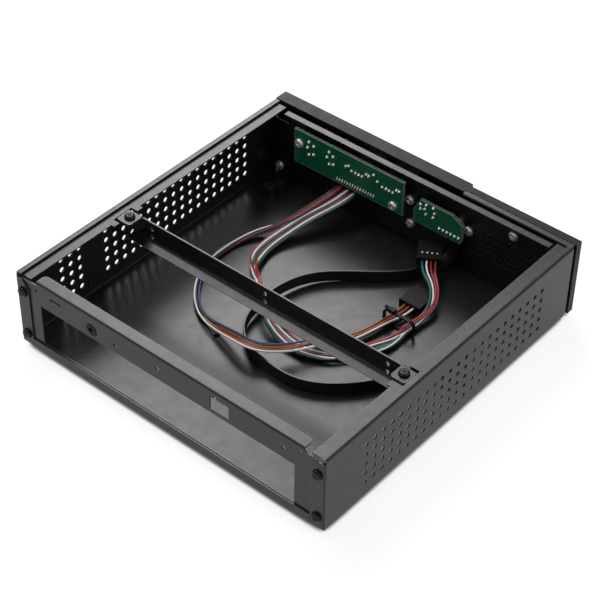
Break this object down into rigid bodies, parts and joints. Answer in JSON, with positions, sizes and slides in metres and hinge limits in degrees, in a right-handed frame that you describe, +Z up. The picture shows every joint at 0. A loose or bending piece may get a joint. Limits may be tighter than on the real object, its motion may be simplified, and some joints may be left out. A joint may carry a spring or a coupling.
{
  "type": "mini itx pc case",
  "caption": "Thin folded sheet-metal desktop computer case without its lid, with perforated sides, a port opening at the rear, a cross bar, front port boards and loose wiring inside.",
  "frame": {"origin": "centre of the case at the underside of the rubber feet", "axes": "+X to the side with the stiffening plate; +Y from the front bezel to the rear panel; +Z up"},
  "size_m": [0.1916, 0.201, 0.0472],
  "materials": {
    "black_sheet": "satin black powder coat on steel sheet",
    "black_bezel": "satin black",
    "black_screw": "black oxide",
    "plated_screw": "bright nickel plate",
    "board_green": "green solder mask",
    "port_metal": "plain plated steel",
    "port_plastic": "black moulded plastic",
    "header_plastic": "natural moulded plastic",
    "plug_plastic": "black moulded plastic",
    "wire_cover": "thin coloured wire covers",
    "ribbon_black": "black flat cable",
    "clear_guide": "clear plastic",
    "lamp_body": "clear lamp",
    "foot_rubber": "matt black"
  },
  "bodies": {
    "case": {"outer_shell": "black_sheet", "rear_panel": "black_sheet", "front_sheet": "black_sheet", "rail_left": "black_sheet", "rail_right": "black_sheet", "cross_bar": "black_sheet", "wall_stiffener": "black_sheet", "board_standoffs": "black_sheet", "bezel": "black_bezel", "rear_corner_screws": "black_screw", "bar_screws": "black_screw", "bezel_screws": "plated_screw", "board_screws": "plated_screw", "board_spacers": "plated_screw", "io_board": "board_green", "power_board": "board_green", "usb_port_1_shell": "port_metal", "usb_port_2_shell": "port_metal", "usb_port_1_tongue": "port_plastic", "usb_port_2_tongue": "port_plastic", "headphone_jack": "port_plastic", "microphone_jack": "port_plastic", "cable_hole_grommet": "port_plastic", "io_header": "header_plastic", "ribbon_socket": "header_plastic", "power_switch": "header_plastic", "usb_plug": "plug_plastic", "audio_plug": "plug_plastic", "ribbon_plug": "plug_plastic", "cable_tie": "plug_plastic", "usb_loom": "wire_cover", "audio_loom": "wire_cover", "ribbon_cable": "ribbon_black", "light_guide": "clear_guide", "power_lamp": "lamp_body", "foot_front_left": "foot_rubber", "foot_front_right": "foot_rubber", "foot_rear_left": "foot_rubber", "foot_rear_right": "foot_rubber"},
    "button": {"power_button": "black_bezel", "switch_plunger": "header_plastic"}
  },
  "joints": [
    {"name": "button_press", "type": "slide", "parent": "case", "child": "button", "axis": [0, 1, 0], "range_m": [0, 0.0008], "stiffness_N_per_m": 1500}
  ]
}
